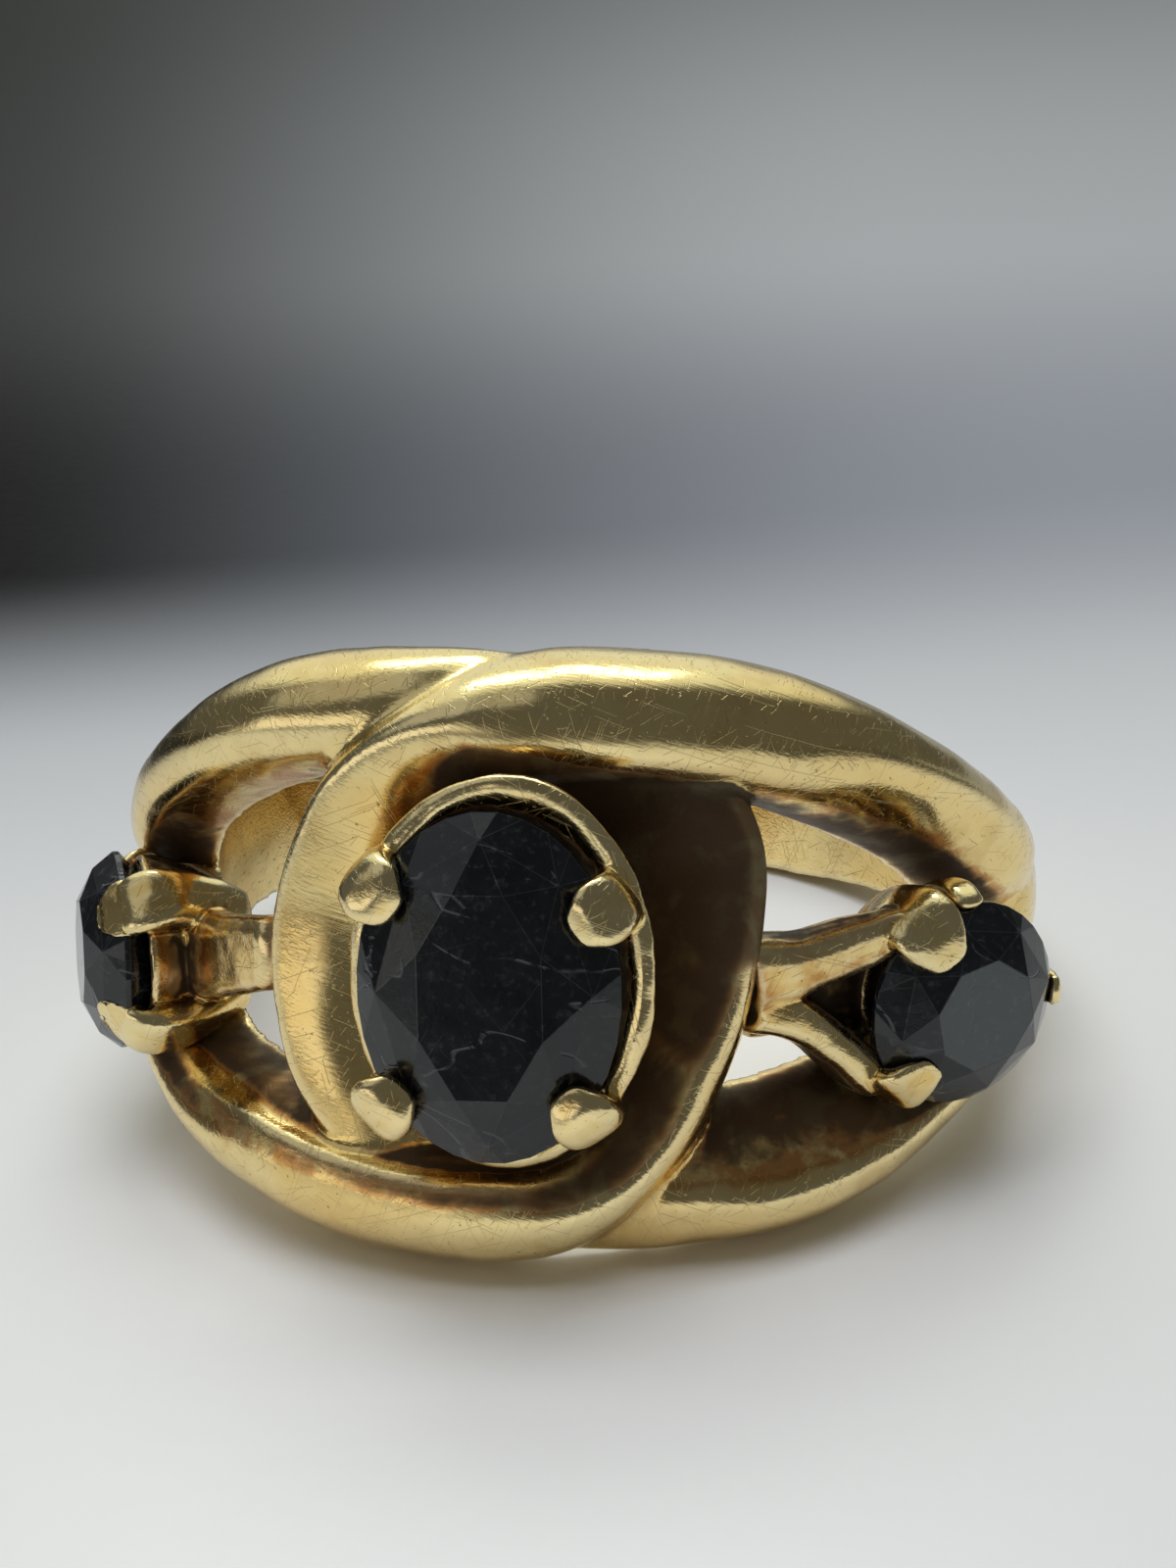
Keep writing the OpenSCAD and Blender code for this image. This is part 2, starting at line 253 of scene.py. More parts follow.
# Wall of the oval basket: part of the stone's half width, of its half length, more beyond, height
BASKET_ROWS = [
    [0.85, 0.86, 0.00, -3.10],
    [0.87, 0.88, 0.00, -2.00],
    [0.98, 0.98, 0.00, -1.20],
    [1.00, 1.00, 0.30, -0.72],
    [1.00, 1.00, 0.42, -0.42],
    [1.00, 1.00, 0.36, -0.20],
    [1.00, 1.00, 0.10, -0.10],
    [0.97, 0.97, -0.04, -0.24],
    [0.88, 0.88, 0.00, -0.55],
    [0.62, 0.67, 0.00, -1.85],
    [0.58, 0.63, 0.00, -3.10],
]
# How far its rim stands off to the side and above the stone
RIM_ASIDE = 0.30
RIM_ABOVE = 0.40

# Cups of the right and the left stone: radius and height
LOW_CUP = [
    [0.06, -2.42], [1.2, -2.42], [1.32, -2.2], [1.75, -1.4], [1.78, -1.24],
    [1.66, -1.14], [1.2, -1.5], [0.4, -2.25], [0.06, -2.32],
]
HIGH_CUP = [
    [0.06, -2.42], [1.25, -2.42], [1.45, -2.1], [1.95, -1.1], [2.12, -0.62],
    [2.02, -0.50], [1.86, -0.60], [1.5, -1.2], [0.4, -2.25], [0.06, -2.32],
]

# Bars that tie the side settings to the links: middle point, half width, half thickness
RIGHT_UPPER_ARM = [
    [-4.5, 0.55, -1.95, 0.75, 0.85],
    [-3.9, 0.70, -1.70, 0.75, 0.75],
    [-3.2, 0.92, -1.40, 0.66, 0.60],
    [-2.3, 1.32, -0.95, 0.60, 0.56],
    [-1.65, 1.68, -0.50, 0.40, 0.46],
]
RIGHT_LOWER_ARM = [
    [-4.3, -0.05, -1.95, 0.7, 0.60],
    [-3.5, -0.28, -1.6, 0.8, 0.50],
    [-2.5, -0.95, -1.3, 0.85, 0.44],
    [-1.8, -1.6, -0.95, 0.8, 0.46],
]
RIGHT_WEB = [
    [-4.0, 0.06, -2.2, 1.0, 0.5],
    [-1.0, 0.03, -1.9, 1.1, 0.5],
]
LEFT_ARM = [
    [0.85, 0.02, -1.92, 1.15, 0.7],
    [2.4, 0.25, -2.0, 0.95, 0.5],
    [4.9, 0.75, -2.75, 0.80, 0.42],
]


# Metal

def at(angle, rise, height):
    """Point at an angle round the finger, a rise along it and a height above the bore."""
    turn = np.radians(angle)
    reach = BORE_R + height
    return np.stack([reach * np.sin(turn), -reach * np.cos(turn), rise + 0 * turn], axis=-1)


def smooth(rows, steps):
    """The rows with others between them, all on a smooth curve."""
    rows = np.asarray(rows, float)
    padded = np.vstack([rows[:1], rows, rows[-1:]])
    a, b, c, d = (padded[i:i + len(rows) - 1, None] for i in range(4))
    t = (np.arange(steps) / steps)[None, :, None]
    square = 2 * a - 5 * b + 4 * c - d
    cube = 3 * b - a - 3 * c + d
    between = (2 * b + (c - a) * t + square * t**2 + cube * t**3) / 2
    return np.vstack([between.reshape(-1, rows.shape[1]), rows[-1:]])


def ramp(x):
    """The number, but no less than 0 and no more than 1."""
    return min(max(x, 0.0), 1.0)


def after(x, start, over):
    """0 up to the start, rising to 1 over the given stretch."""
    return ramp((x - start) / over)


def before(x, end, over):
    """0 from the end on, and 1 where x is farther before it than the given stretch."""
    return ramp((end - x) / over)


class Skin:
    """Closed skins gathered in one mesh, to be fused by remeshing."""

    def __init__(self):
        self.points = []
        self.soot = []
        self.faces = []
        self.count = 0

    def loft(self, sections, place=None, ring=False, soot=None):
        """Skin through sections with as many points each. A ring also closes on itself.
        A further value tells how blackened each point is by soot and by painted shade, and is 0
        where it isn't given."""
        sections = [np.asarray(s, float) for s in sections]
        rows, size = len(sections), len(sections[0])
        points = np.concatenate(sections)
        self.soot.append(np.zeros(len(points)) if soot is None else np.concatenate(soot))
        if place is not None:
            matrix = np.array(place)
            points = points @ matrix[:3, :3].T + matrix[:3, 3]
        start = self.count
        self.points.append(points)
        self.count += len(points)
        for i in range(rows if ring else rows - 1):
            a, b = start + i * size, start + (i + 1) % rows * size
            for j in range(size):
                k = (j + 1) % size
                self.faces.append((a + j, a + k, b + k, b + j))
        if not ring:
            self.faces.append(tuple(range(start + size - 1, start - 1, -1)))
            self.faces.append(tuple(range(start + (rows - 1) * size, start + rows * size)))

    def mesh(self, name):
        mesh = bpy.data.meshes.new(name)
        mesh.from_pydata(np.concatenate(self.points).tolist(), [], self.faces)
        return mesh


def ribbon_section(inner, outer, crest, height, fullness, ledge=0.0):
    """Outline across a ribbon between two edges given as angle and rise, and for each
    of its points how far it lies down the inner flank. A ledge steepens part of that flank."""
    turn = np.radians(np.linspace(0, 90, RIBBON_ARC + 1))
    across = np.concatenate([
        crest * (1 - np.cos(turn) ** fullness),
        crest + (1 - crest) * np.sin(turn[1:]),
    ])
    up = np.concatenate([np.sin(turn) ** fullness, np.cos(turn[1:]).clip(0) ** 0.9])
    under = np.linspace(1, 0, RIBBON_ARC)
    flank = (1 - across / crest).clip(0)
    step = (flank - LEDGE_PLACE) / LEDGE_HALF
    across = np.concatenate([across + crest * ledge * step * np.exp(-0.5 * step**2), under])
    flank = np.concatenate([flank, 0 * under])
    height = np.concatenate([LIP + (height - LIP) * up, 0 * under])
    outline = at(
        inner[0] + (outer[0] - inner[0]) * across,
        inner[1] + (outer[1] - inner[1]) * across,
        height,
    )
    return outline, flank


def soot_and_shade_down(flank, out_angle, at_end, first, over, soot_and_shade_parts, ledged):
    """How blackened each point of a section is, by soot and by painted shade and painted dark
    reflection.
    A lightly blackened branch keeps the outer part of its flank clean but for a patch at the
    turn, and soot and painted shade are taken off the ledge so that it stays bright."""
    darkened = soot_and_shade_parts[0] if first else soot_and_shade_parts[2]
    patch = math.exp(-((out_angle - PATCH_ANGLE) / PATCH_HALF) ** 2) if first else 0.0
    clean = CLEAN_FLANK * (1 - at_end) * (1 - PATCH_REACH * patch) if darkened < HEAVY_SOOT_AND_SHADE else 0.0
    steep = SOOT_AND_SHADE_STEEP + END_STEEP * soot_and_shade_parts[1] * at_end
    darkened += (soot_and_shade_parts[1] - darkened) * at_end
    darkened = max(darkened, PATCH_SOOT_AND_SHADE * patch)
    glint = np.exp(-((flank - LEDGE_PLACE) / GLINT_HALF) ** 2) * ledged
    black = ((flank + over - clean) * steep).clip(0, 1) * (darkened + OVER_SOOT_AND_SHADE * over)
    return black * (1 - glint) - GLINT_CLEAN * glint


def link(skin, branch, end, soot_and_shade_parts, place=None, outer=1.0, inner=1.0, pull=0.0, opened=0.0):
    """One ribbon link. The arguments are the small ways in which the two links differ.
    "branch" is the crest place and the fullness of the returning branch, "end" the crest
    place on both halves of the closed end and its fullness, and the soot parts blacken first
    branch, end and return with soot and painted shade. "outer" and "inner" draw in the edges of
    the returning branch,
    "pull" draws out the closed end and "opened" raises the inner edge of the first branch."""
    sections, soot = [], []
    for row in smooth(LINK_ROWS, RIBBON_STEPS):
        out_angle, out_rise, in_angle, in_rise, crest, height, fullness = row
        first, returning = out_rise > 0, out_rise < 0
        # How far the section lies in each part of the link
        at_end = before(out_angle, -2, 22) if first else before(out_angle, 4, 20)
        at_back = after(out_angle, -10, 30) * returning
        at_opening = after(out_angle, 35, 15) * before(out_angle, 90, 20) * first
        at_return = after(out_angle, 8, 18) * before(out_angle, 86, 22) * returning
        drawn = pull * before(out_angle, 0, 28) * ramp(1 + 1.5 * out_rise)
        heavy = soot_and_shade_parts[0] > HEAVY_SOOT_AND_SHADE and first
        ledged = (1 - at_end) * before(out_angle, 86, 20) * heavy
        over = OVER_EDGE * at_end * ramp(0.4 - 3 * out_rise) if soot_and_shade_parts[1] > 1 else 0.0

        end_crest = end[1] + (end[0] - end[1]) * ramp(0.5 + 1.2 * out_rise)
        crest += (end_crest - crest) * at_end + (branch[0] - crest) * at_return
        fullness += (end[2] - fullness) * at_end + (branch[1] - fullness) * at_return
        outline, flank = ribbon_section(
            (in_angle, (in_rise * (1 + (inner - 1) * at_back) + opened * at_opening) * HEAD_HALF),
            (out_angle + drawn, out_rise * (1 + (outer - 1) * at_back) * HEAD_HALF),
            crest, height * CREST, fullness, LEDGE * ledged,
        )
        sections.append(outline)
        soot.append(soot_and_shade_down(flank, out_angle, at_end, first, over, soot_and_shade_parts, ledged))
    skin.loft(sections, place, soot=soot)


def shank(skin):
    skin.loft([
        ribbon_section((angle, rise + half), (angle, rise - half), 0.5, height, 0.9)[0]
        for angle, rise, half, height in smooth(SHANK_ROWS, RIBBON_STEPS)
    ])


def turned(degrees, axis):
    return Matrix.Rotation(math.radians(degrees), 4, axis)


def seat(spot, height, turn=0.0, lean=0.0):
    """Frame of a setting: its origin at the stone's girdle, its Z axis outward."""
    angle, rise = spot
    foot = Matrix.Translation((0, -(BORE_R + height), rise))
    return turned(angle, "Z") @ foot @ turned(turn, "Z") @ turned(90 + lean, "X")


# The right stone and its cup are turned a little further out than the arms that hold them
CENTER_SEAT = seat((OVAL_ANGLE, 0), OVAL_SEAT)
RIGHT_SEAT = seat(RIGHT_AT, ROUND_SEAT, turn=-16, lean=8)
RIGHT_ARMS = seat(RIGHT_AT, ROUND_SEAT, turn=-9, lean=8)
LEFT_SEAT = seat(LEFT_AT, ROUND_SEAT, turn=-5)


def rod(skin, place, rows, side, square, soot=0.0):
    """Tapering rod. Rows are its middle point, half width along the side and half thickness."""
    rows = np.asarray(rows, float)
    middle, wide, thick = rows[:, :3], rows[:, 3], rows[:, 4]
    way = np.gradient(middle, axis=0)
    way /= np.linalg.norm(way, axis=1, keepdims=True)
    side = np.asarray(side, float)
    across = np.cross(way, side)
    across /= np.linalg.norm(across, axis=1, keepdims=True)
    # Outline of a squared oval
    turn = np.linspace(0, 2 * np.pi, ROD_SIDES, endpoint=False)
    c = np.sign(np.cos(turn)) * np.abs(np.cos(turn)) ** (2 / square)
    s = np.sign(np.sin(turn)) * np.abs(np.sin(turn)) ** (2 / square)
    sections = [
        m + w * c[:, None] * side + t * s[:, None] * a
        for m, w, t, a in zip(middle, wide, thick, across)
    ]
    tip, last = rows[-1], sections[-1]
    for part, reach in ROD_TIP:
        sections.append(tip[:3] + (last - tip[:3]) * part + way[-1] * reach * tip[4])
    skin.loft(sections, place, soot=[np.full(ROD_SIDES, soot)] * len(sections))


def claw(skin, place, turn, half_w, half_l, rows, scale=1.0, lift=0.0):
    """Claw standing at a turn round a girdle and bent over its edge."""
    c, s = math.cos(math.radians(turn)), math.sin(math.radians(turn))
    edge = 1 / math.hypot(c / half_w, s / half_l)
    rows = smooth(rows, CLAW_STEPS)
    reach, height = edge + rows[:, 0], rows[:, 1] + lift
    middle = np.stack([reach * c, reach * s, height], axis=-1)
    rod(skin, place, np.hstack([middle, rows[:, 2:] * scale]), (-s, c, 0), CLAW_SQUARE)


def arm(skin, place, rows, side, soot):
    """Bar that ties a setting to the links, with a soft curve through its rows."""
    rod(skin, place, smooth(rows, ARM_STEPS), side, ARM_SQUARE, soot)


def center_setting():
    """Oval basket with a rolled rim and four claws."""
    skin = Skin()
    half_w, half_l = OVAL_W / 2, OVAL_L / 2
    turn = np.linspace(0, 2 * np.pi, OVAL_SIDES, endpoint=False)
    skin.loft([
        np.stack([
            (half_w * part_w + more) * np.cos(turn) + RIM_ASIDE * ramp(1 + height),
            (half_l * part_l + more) * np.sin(turn) + RIM_ABOVE * ramp(1 + height),
            height + 0 * turn,
        ], axis=-1)
        for part_w, part_l, more, height in smooth(BASKET_ROWS, WALL_STEPS)
    ], CENTER_SEAT, ring=True)
    for claw_turn in OVAL_CLAWS:
        claw(skin, CENTER_SEAT, claw_turn, half_w, half_l, OVAL_CLAW_ROWS)
    return skin


def cup(skin, place, outline, soot):
    """Cone under a round stone, hollowed for the stone's point."""
    turn = np.linspace(0, 2 * np.pi, ROUND_SIDES, endpoint=False)
    skin.loft([
        np.stack([r * np.cos(turn), r * np.sin(turn), z + 0 * turn], axis=-1)
        for r, z in outline
    ], place, ring=True, soot=[soot + 0 * turn] * len(outline))


def round_claws(skin, place, claws, rows):
    for turn, scale, lift in claws:
        claw(skin, place, turn, ROUND_D / 2, ROUND_D / 2, rows, scale, lift)


def right_setting():
    """Low cup with two claws in front, two beads behind and a fork of two arms."""
    skin = Skin()
    # The cup and the arms are darkened evenly by soot and painted shade, each by its own amount
    cup(skin, RIGHT_SEAT, LOW_CUP, soot=0.7)
    round_claws(skin, RIGHT_SEAT, RIGHT_CLAWS, ROUND_CLAW_ROWS)
    round_claws(skin, RIGHT_SEAT, RIGHT_BEADS, BEAD_CLAW_ROWS)
    arm(skin, RIGHT_ARMS, RIGHT_UPPER_ARM, (0, 0, 1), soot=0.52)
    arm(skin, RIGHT_ARMS, RIGHT_LOWER_ARM, (0, 0, 1), soot=0.3)
    arm(skin, RIGHT_ARMS, RIGHT_WEB, (0, 1, 0), soot=0.7)
    return skin


def left_setting():
    """High cup with four claws on one flat arm."""
    skin = Skin()
    # The cup and the arm are darkened evenly by soot and painted shade
    cup(skin, LEFT_SEAT, HIGH_CUP, soot=0.42)
    round_claws(skin, LEFT_SEAT, LEFT_CLAWS, ROUND_CLAW_ROWS)
    arm(skin, LEFT_SEAT, LEFT_ARM, (0, 1, 0), soot=0.5)
    return skin


def linked_ribbons():
    """The two links and the shank, which were soldered and filed into one form."""
    skin = Skin()
    # Each link's soot parts darken its branches and end with soot, painted shade and painted dark
    # reflection
    link(
        skin, branch=(0.62, 1.5), end=(0.84, 0.84, 1.3), soot_and_shade_parts=(0.55, 0.05, 0.80),
        outer=0.95, inner=0.76,
    )
    link(
        skin, branch=(0.44, 1.0), end=(0.64, 0.88, 1.5), soot_and_shade_parts=(0.85, 1.1, 0.4),
        place=turned(180, "Y"), pull=4.6, opened=0.1,
    )
    shank(skin)
    return skin


def fused(skin, name, voxel, softening):
    """Object made of the skins melted into one, with its sharp corners softened."""
    mesh = skin.mesh(name)
    thing = bpy.data.objects.new(name, mesh)
    bpy.context.scene.collection.objects.link(thing)
    remesh = thing.modifiers.new("melt", "REMESH")
    remesh.mode = "VOXEL"
    remesh.voxel_size = voxel
    soften = thing.modifiers.new("soften", "SMOOTH")
    soften.factor = 0.5
    soften.iterations = softening
    bpy.context.view_layer.update()
    worked = thing.evaluated_get(bpy.context.evaluated_depsgraph_get())
    melted = bpy.data.meshes.new_from_object(worked)
    thing.modifiers.clear()
    thing.data = melted
    bpy.data.meshes.remove(mesh)
    # Soot and painted shade pass from the nearest point of the skins to each point of the melted
    # skin
    points, soot = np.concatenate(skin.points), np.concatenate(skin.soot)
    near = KDTree(len(points))
    for i, point in enumerate(points):
        near.insert(point, i)
    near.balance()
    carried = np.array([soot[near.find(v.co)[1]] for v in melted.vertices])
    store(melted, "soot", spread(carried, edges_of(melted), SOOT_AND_SHADE_SPREAD))
    return thing


def points_of(mesh):
    flat = np.empty(len(mesh.vertices) * 3, np.float32)
    mesh.vertices.foreach_get("co", flat)
    return flat.reshape(-1, 3).astype(float)


def normals_of(mesh):
    flat = np.empty(len(mesh.vertices) * 3, np.float32)
    mesh.vertex_normals.foreach_get("vector", flat)
    return flat.reshape(-1, 3).astype(float)


def edges_of(mesh):
    flat = np.empty(len(mesh.edges) * 2, np.int32)
    mesh.edges.foreach_get("vertices", flat)
    return flat.reshape(-1, 2)


def set_points(mesh, points):
    mesh.vertices.foreach_set("co", points.astype(np.float32).ravel())
    mesh.update()


def store(mesh, name, values):
    attribute = mesh.attributes.new(name, "FLOAT", "POINT")
    attribute.data.foreach_set("value", values.astype(np.float32))


def spread(values, edges, times):
    """Values averaged with their neighbours' along the mesh's edges."""
    a, b = edges.T
    size = len(values)
    degree = np.bincount(a, minlength=size) + np.bincount(b, minlength=size)
    for _ in range(times):
        around = np.bincount(a, values[b], size) + np.bincount(b, values[a], size)
        values = (values + around / np.maximum(degree, 1)) / 2
    return values


def hand_finish(mesh, waves):
    """Moves the skin in and out as files and years of wear do."""
    points, normals = points_of(mesh), normals_of(mesh)
    depth = np.zeros(len(points))
    for deep, long in waves:
        depth += deep * np.array([noise.noise(Vector(p) / long) for p in points])
    set_points(mesh, points + normals * depth[:, None])


def keep_clear(mesh, stones):
    """Keeps the metal out of the finger's space and out of the stones."""
    points = points_of(mesh)
    reach = np.hypot(points[:, 0], points[:, 1])
    inside = reach < BORE_R
    points[inside, :2] *= (BORE_R / reach[inside])[:, None]
    for planes in stones:
        distance = points @ planes[:, :3].T - planes[:, 3] - SEAT_GAP
        nearest = distance.argmax(axis=1)
        deepest = distance[np.arange(len(points)), nearest]
        touched = deepest < 0
        points[touched] -= deepest[touched, None] * planes[nearest[touched], :3]
    set_points(mesh, points)


def ray_fan(count):
    """Directions spread evenly over a half sphere about Z."""
    k = np.arange(count) + 0.5
    z = np.sqrt(1 - k / count)
    turn = k * math.pi * (3 - math.sqrt(5))
    r = np.sqrt(1 - z * z)
    return np.stack([r * np.cos(turn), r * np.sin(turn), z], axis=-1)


def enclosure(mesh, tree, fan):
    """How many of the rays from each point of a skin meet metal or stone, as a part of all."""
    enclosed = np.zeros(len(mesh.vertices))
    for i, v in enumerate(mesh.vertices):
        turn = v.normal.to_track_quat("Z", "X").to_matrix()
        origin = v.co + v.normal * ENCLOSURE_START
        enclosed[i] = sum(tree.ray_cast(origin, turn @ d, ENCLOSURE_REACH)[0] is not None for d in fan)
    return enclosed / len(fan)


def sharpness(mesh, edges):
    """How strongly a skin bends outward at each of its points."""
    points, normals = points_of(mesh), normals_of(mesh)
    a, b = edges.T
    gap = points[b] - points[a]
    length = np.linalg.norm(gap, axis=1) + 1e-9
    bend = -(gap * normals[a]).sum(1) / length**2 * 2
    bend_back = (gap * normals[b]).sum(1) / length**2 * 2
    size = len(points)
    total = np.bincount(a, bend, size) + np.bincount(b, bend_back, size)
    count = np.bincount(a, minlength=size) + np.bincount(b, minlength=size)
    return total / np.maximum(count, 1)


def mark_wear_and_shade(metals, stones):
    """Stores on each metal skin how enclosed each point is, as "recess", and how proud the
    edges are, as "ridge". The first darkens the gold with grime and painted shade, the second
    lightens its edges with wear and a painted highlight."""
    points, faces, first = [], [], 0
    for mesh in [*metals, *stones]:
        points += [v.co.copy() for v in mesh.vertices]
        faces += [[i + first for i in f.vertices] for f in mesh.polygons]
        first += len(mesh.vertices)
    tree = BVHTree.FromPolygons(points, faces)
    fan = [Vector(d) for d in ray_fan(ENCLOSURE_RAYS)]
    for mesh in metals:
        edges = edges_of(mesh)
        store(mesh, "recess", spread(enclosure(mesh, tree, fan), edges, RECESS_SPREAD))
        store(mesh, "ridge", spread(sharpness(mesh, edges), edges, RIDGE_SPREAD))


# Stones

# Order of the materials on a stone, after that of its facets
RUBBED_EDGE = 1
DULL_FACET = 2


def cut_points(width, length, cut):
    """Corners of a cut stone: table, star corners, girdle, lower corners and point."""
    def ring(part_w, part_l, height, count, shift):
        turn = math.radians(shift) + np.arange(count) * 2 * math.pi / count
        return [Vector((part_w * math.cos(t), part_l * math.sin(t), height)) for t in turn]

    half_w, half_l = width / 2, length / 2
    table_w, table_l = width * cut[0] / 2, length * cut[1] / 2
    crown, pavilion = cut[2:]
    star_w = (table_w * STAR_IN + half_w * STAR_OUT) * STAR_PROUD
    star_l = (table_l * STAR_IN + half_l * STAR_OUT) * STAR_PROUD
    lower_w, lower_l = half_w * LOWER_OUT, half_l * LOWER_OUT
    half_step = 180 / TABLE_CORNERS
    fine_half_step = 180 / GIRDLE_CORNERS
    return (
        ring(table_w, table_l, crown, TABLE_CORNERS, half_step)
        + ring(star_w, star_l, crown * STAR_HEIGHT, TABLE_CORNERS, 0)
        + ring(half_w, half_l, 0, GIRDLE_CORNERS, fine_half_step)
        + ring(half_w, half_l, -GIRDLE, GIRDLE_CORNERS, fine_half_step)
        + ring(lower_w, lower_l, -pavilion * LOWER_DEPTH, TABLE_CORNERS, half_step)
        + [Vector((0, 0, -pavilion))]
    )


def stone_solid(points, place):
    """Faceted solid of a stone, as a bmesh in the ring's frame."""
    solid = bmesh.new()
    for p in points:
        solid.verts.new(place @ p)
    hull = bmesh.ops.convex_hull(solid, input=solid.verts)
    left_over = hull["geom_interior"] + hull["geom_unused"]
    spare = [v for v in left_over if isinstance(v, bmesh.types.BMVert)]
    bmesh.ops.delete(solid, geom=spare, context="VERTS")
    flat = math.radians(1.5)
    bmesh.ops.dissolve_limit(solid, angle_limit=flat, verts=solid.verts, edges=solid.edges)
    bmesh.ops.recalc_face_normals(solid, faces=solid.faces)
    return solid


def planes_of(solid):
    """A row for each facet: its outward normal and its distance along that normal."""
    return np.array([[*f.normal, f.normal.dot(f.verts[0].co)] for f in solid.faces])


def stone_piece(name, solid, dull_way):
    """Stone with each edge of its facets rubbed off by a narrow bevel, which gets its own
    material. A facet that faces the dull way, if one is given, gets a third."""
    for face in solid.faces:
        if dull_way and face.normal.dot(dull_way) > 0.999:
            face.material_index = DULL_FACET
    worn = bmesh.ops.bevel(
        solid, geom=solid.edges[:] + solid.verts[:], offset=EDGE_WEAR, segments=1,
        affect="EDGES", clamp_overlap=True, material=RUBBED_EDGE,
    )
    for face in solid.faces:
        face.smooth = False
    for face in worn["faces"]:
        face.material_index = RUBBED_EDGE
    mesh = bpy.data.meshes.new(name)
    solid.to_mesh(mesh)
    solid.free()
    stone = bpy.data.objects.new(name, mesh)
    bpy.context.scene.collection.objects.link(stone)
    return stone


# Materials

class Value:
    """A socket that takes part in sums."""

    def __init__(self, finish, socket):
        self.finish = finish
        self.socket = socket

    def __add__(self, other):
        return self.finish.math("ADD", self, other)

    def __sub__(self, other):
        return self.finish.math("SUBTRACT", self, other)

    def __rsub__(self, other):
        return self.finish.math("SUBTRACT", other, self)

    def __mul__(self, other):
        return self.finish.math("MULTIPLY", self, other)

    def __truediv__(self, other):
        return self.finish.math("DIVIDE", self, other)

    def __abs__(self):
        return self.finish.math("ABSOLUTE", self)

    __radd__ = __add__
    __rmul__ = __mul__

    def between(self, low, high):
        """0 below low, 1 above high and a soft step between them."""
        return self.finish.node(
            "MapRange", {"interpolation_type": "SMOOTHSTEP"},
            {"Value": self, "From Min": low, "From Max": high},
        )


class Finish:
    """Builds the nodes of a material or of the world."""

    def __init__(self, owner):
        owner.use_nodes = True
        self.owner = owner
        self.tree = owner.node_tree
        self.tree.nodes.clear()

    def node(self, kind, settings=None, inputs=None, output=0):
        """A node of this kind, with its settings made first, then its values and links."""
        made = self.tree.nodes.new("ShaderNode" + kind)
        for key, value in (settings or {}).items():
            setattr(made, key, value)
        for key, value in (inputs or {}).items():
            if isinstance(value, Value):
                self.tree.links.new(value.socket, made.inputs[key])
            else:
                made.inputs[key].default_value = value
        return Value(self, made.outputs[output]) if made.outputs else made

    def math(self, operation, *values):
        return self.node("Math", {"operation": operation}, dict(enumerate(values)))

    def vector(self, operation, *values):
        return self.node("VectorMath", {"operation": operation}, dict(enumerate(values)))

    def dot(self, first, second):
        inputs = {0: first, 1: second}
        return self.node("VectorMath", {"operation": "DOT_PRODUCT"}, inputs, "Value")

    def part(self, vector, axis):
        """One of the three parts of a vector: 0, 1 or 2."""
        return self.node("SeparateXYZ", None, {0: vector}, axis)

    def stored(self, name):
        """A measure that was stored on the skin."""
        return self.node("Attribute", {"attribute_name": name}, output="Fac")

    def mix(self, factor, first, second):
        first, second = ((*c, 1) if isinstance(c, tuple) else c for c in (first, second))
        return self.node("Mix", {"data_type": "RGBA"}, {0: factor, 6: first, 7: second}, 2)

    def millimetres(self):
        """Place on the object, in millimetres."""
        place = self.node("TexCoord", output="Object")
        return self.vector("MULTIPLY", place, (1 / METRE,) * 3)

    def stretched(self, place, turn, scale):
        """The place turned by degrees and scaled along each axis."""
        return self.node("Mapping", {"vector_type": "TEXTURE"}, {
            "Vector": place,
            "Rotation": tuple(math.radians(a) for a in turn),
            "Scale": tuple(1 / s for s in scale),
        })

    def clouds(self, place, scale, detail=2.0, roughness=0.5, distortion=0.0):
        return self.node("TexNoise", None, {
            "Vector": place, "Scale": scale, "Detail": detail,
            "Roughness": roughness, "Distortion": distortion,
        })

    def strokes(self, place, turn, per_mm, long, share, thin):
        """Straight scratches that run one way: so many lanes to a millimetre, each broken
        into strokes of about the given length, of which a share is there."""
        lanes = self.stretched(place, turn, (per_mm, 1 / long, 1.0))
        x = self.part(lanes, 0) + self.clouds(place, 0.5, 1.0) * LANE_DRIFT
        lane = self.math("FLOOR", x)
        shift = self.node("TexWhiteNoise", {"noise_dimensions": "1D"}, {"W": lane})
        y = self.part(lanes, 1) + shift * LANE_SHIFT
        # The number of lanes tells the sets of scratches apart
        cell = self.node("CombineXYZ", None, {0: lane, 1: self.math("FLOOR", y), 2: per_mm})
        chance = self.node("TexWhiteNoise", None, {"Vector": cell})
        there = self.math("GREATER_THAN", chance, 1 - share)
        line = 1 - abs(self.math("FRACT", x) - 0.5).between(thin * 0.4, thin)
        along = self.math("FRACT", y)
        return line * there * (along * (1 - along)).between(0.0, 0.12)

    def bump(self, height, strength, distance):
        inputs = {"Height": height, "Strength": strength, "Distance": distance}
        return self.node("Bump", None, inputs)

    def surface(self, sockets):
        shader = self.node("BsdfPrincipled", None, sockets)
        self.node("OutputMaterial", None, {"Surface": shader})
        return self.owner


def all_strokes(f, place, sets):
    """Scratches of several directions together, 1 on a stroke and 0 beside it."""
    marks = f.strokes(place, *sets[0])
    for one in sets[1:]:
        marks = marks + f.strokes(place, *one)
    return marks.between(0.0, 1.0)


# How far, in lanes, scratches wander off straight, and how far lanes are shifted lengthwise
LANE_DRIFT = 4
LANE_SHIFT = 9
